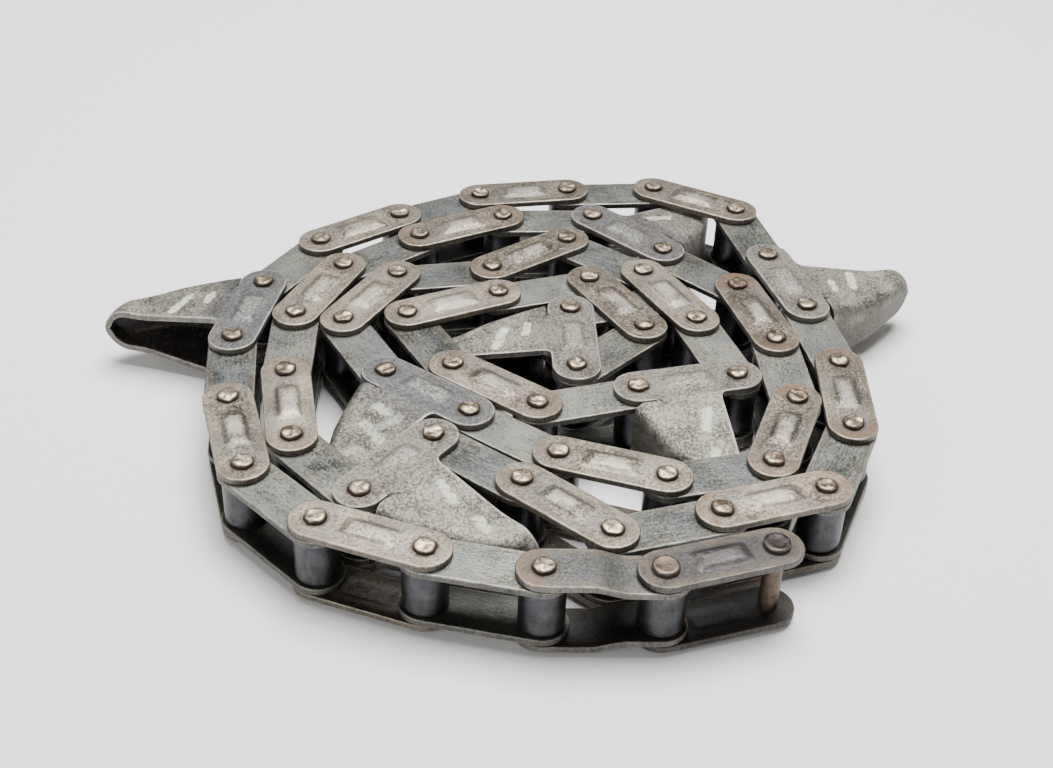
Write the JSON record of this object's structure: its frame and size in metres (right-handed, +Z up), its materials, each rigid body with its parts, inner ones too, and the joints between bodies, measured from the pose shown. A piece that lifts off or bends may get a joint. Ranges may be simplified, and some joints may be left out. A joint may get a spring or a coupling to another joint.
{
  "type": "steel roller chain",
  "caption": "Length of heavy steel roller chain with folded sheet paddles on its outer plates, laid flat in a coil with its pins upright.",
  "frame": {"origin": "centre of the whole part's footprint, on the floor plane under the lower rivet heads", "axes": "+Z up along the pins, +X to the right across the coil's longer side, +Y away from the free end"},
  "size_m": [0.3524, 0.2854, 0.0352],
  "materials": {
    "outer_plate_steel": "worn, warm brown-grey steel with bright rims, oily",
    "inner_plate_steel": "flat cool grey steel with fine brushing, oily",
    "connecting_link_steel": "dark grey steel with a satin surface",
    "paddle_steel": "dark blue-grey hot-rolled sheet with mottled scale and chalk marks"
  },
  "bodies": {
    "coil": {"inner_link_08": "inner_plate_steel", "outer_link_09": "outer_plate_steel", "inner_link_10": "inner_plate_steel", "outer_link_11": "outer_plate_steel", "inner_link_12": "inner_plate_steel", "outer_link_13": "outer_plate_steel", "inner_link_14": "inner_plate_steel", "paddle_link_15": "paddle_steel", "inner_link_16": "inner_plate_steel", "outer_link_17": "outer_plate_steel", "inner_link_18": "inner_plate_steel", "outer_link_19": "outer_plate_steel", "inner_link_20": "inner_plate_steel", "outer_link_21": "outer_plate_steel", "inner_link_22": "inner_plate_steel", "paddle_link_23": "paddle_steel", "inner_link_24": "inner_plate_steel", "outer_link_25": "outer_plate_steel", "inner_link_26": "inner_plate_steel", "outer_link_27": "outer_plate_steel", "inner_link_28": "inner_plate_steel", "outer_link_29": "outer_plate_steel", "inner_link_30": "inner_plate_steel", "paddle_link_31": "paddle_steel", "inner_link_32": "inner_plate_steel", "outer_link_33": "outer_plate_steel", "inner_link_34": "inner_plate_steel", "outer_link_35": "outer_plate_steel", "inner_link_36": "inner_plate_steel", "outer_link_37": "outer_plate_steel", "inner_link_38": "inner_plate_steel", "paddle_link_39": "paddle_steel", "inner_link_40": "inner_plate_steel", "outer_link_41": "outer_plate_steel", "inner_link_42": "inner_plate_steel", "outer_link_43": "outer_plate_steel", "inner_link_44": "inner_plate_steel", "outer_link_45": "outer_plate_steel", "inner_link_46": "inner_plate_steel", "paddle_link_47": "paddle_steel", "inner_link_48": "inner_plate_steel", "outer_link_49": "outer_plate_steel", "inner_link_50": "inner_plate_steel", "outer_link_51": "outer_plate_steel", "inner_link_52": "inner_plate_steel", "outer_link_53": "outer_plate_steel", "inner_link_54": "inner_plate_steel", "paddle_link_55": "paddle_steel", "inner_link_56": "inner_plate_steel"},
    "paddle_link_07_body": {"paddle_link_07": "paddle_steel"},
    "inner_link_06_body": {"inner_link_06": "inner_plate_steel"},
    "outer_link_05_body": {"outer_link_05": "outer_plate_steel"},
    "inner_link_04_body": {"inner_link_04": "inner_plate_steel"},
    "outer_link_03_body": {"outer_link_03": "outer_plate_steel"},
    "inner_link_02_body": {"inner_link_02": "inner_plate_steel"},
    "offset_body": {"offset_link": "outer_plate_steel"},
    "connecting_body": {"connecting_link": "connecting_link_steel"}
  },
  "joints": [
    {"name": "pin_08", "type": "hinge", "parent": "coil", "child": "paddle_link_07_body", "pos_m": [-0.11065, 0.03884, 0.0176], "axis": [0, 0, -1], "range_deg": [0, 30]},
    {"name": "pin_07", "type": "hinge", "parent": "paddle_link_07_body", "child": "inner_link_06_body", "pos_m": [-0.11712, -0.00205, 0.0176], "axis": [0, 0, -1], "range_deg": [0, 30]},
    {"name": "pin_06", "type": "hinge", "parent": "inner_link_06_body", "child": "outer_link_05_body", "pos_m": [-0.11208, -0.04315, 0.0176], "axis": [0, 0, -1], "range_deg": [0, 30]},
    {"name": "pin_05", "type": "hinge", "parent": "outer_link_05_body", "child": "inner_link_04_body", "pos_m": [-0.09997, -0.08274, 0.0176], "axis": [0, 0, -1], "range_deg": [0, 40]},
    {"name": "pin_04", "type": "hinge", "parent": "inner_link_04_body", "child": "outer_link_03_body", "pos_m": [-0.07019, -0.11149, 0.0176], "axis": [0, 0, -1], "range_deg": [0, 30]},
    {"name": "pin_03", "type": "hinge", "parent": "outer_link_03_body", "child": "inner_link_02_body", "pos_m": [-0.03105, -0.12497, 0.0176], "axis": [0, 0, -1], "range_deg": [0, 30]},
    {"name": "pin_02", "type": "hinge", "parent": "inner_link_02_body", "child": "offset_body", "pos_m": [0.00959, -0.13287, 0.0176], "axis": [0, 0, -1], "range_deg": [0, 30]},
    {"name": "pin_01", "type": "hinge", "parent": "offset_body", "child": "connecting_body", "pos_m": [0.05097, -0.13143, 0.0176], "axis": [0, 0, -1], "range_deg": [0, 20]}
  ]
}
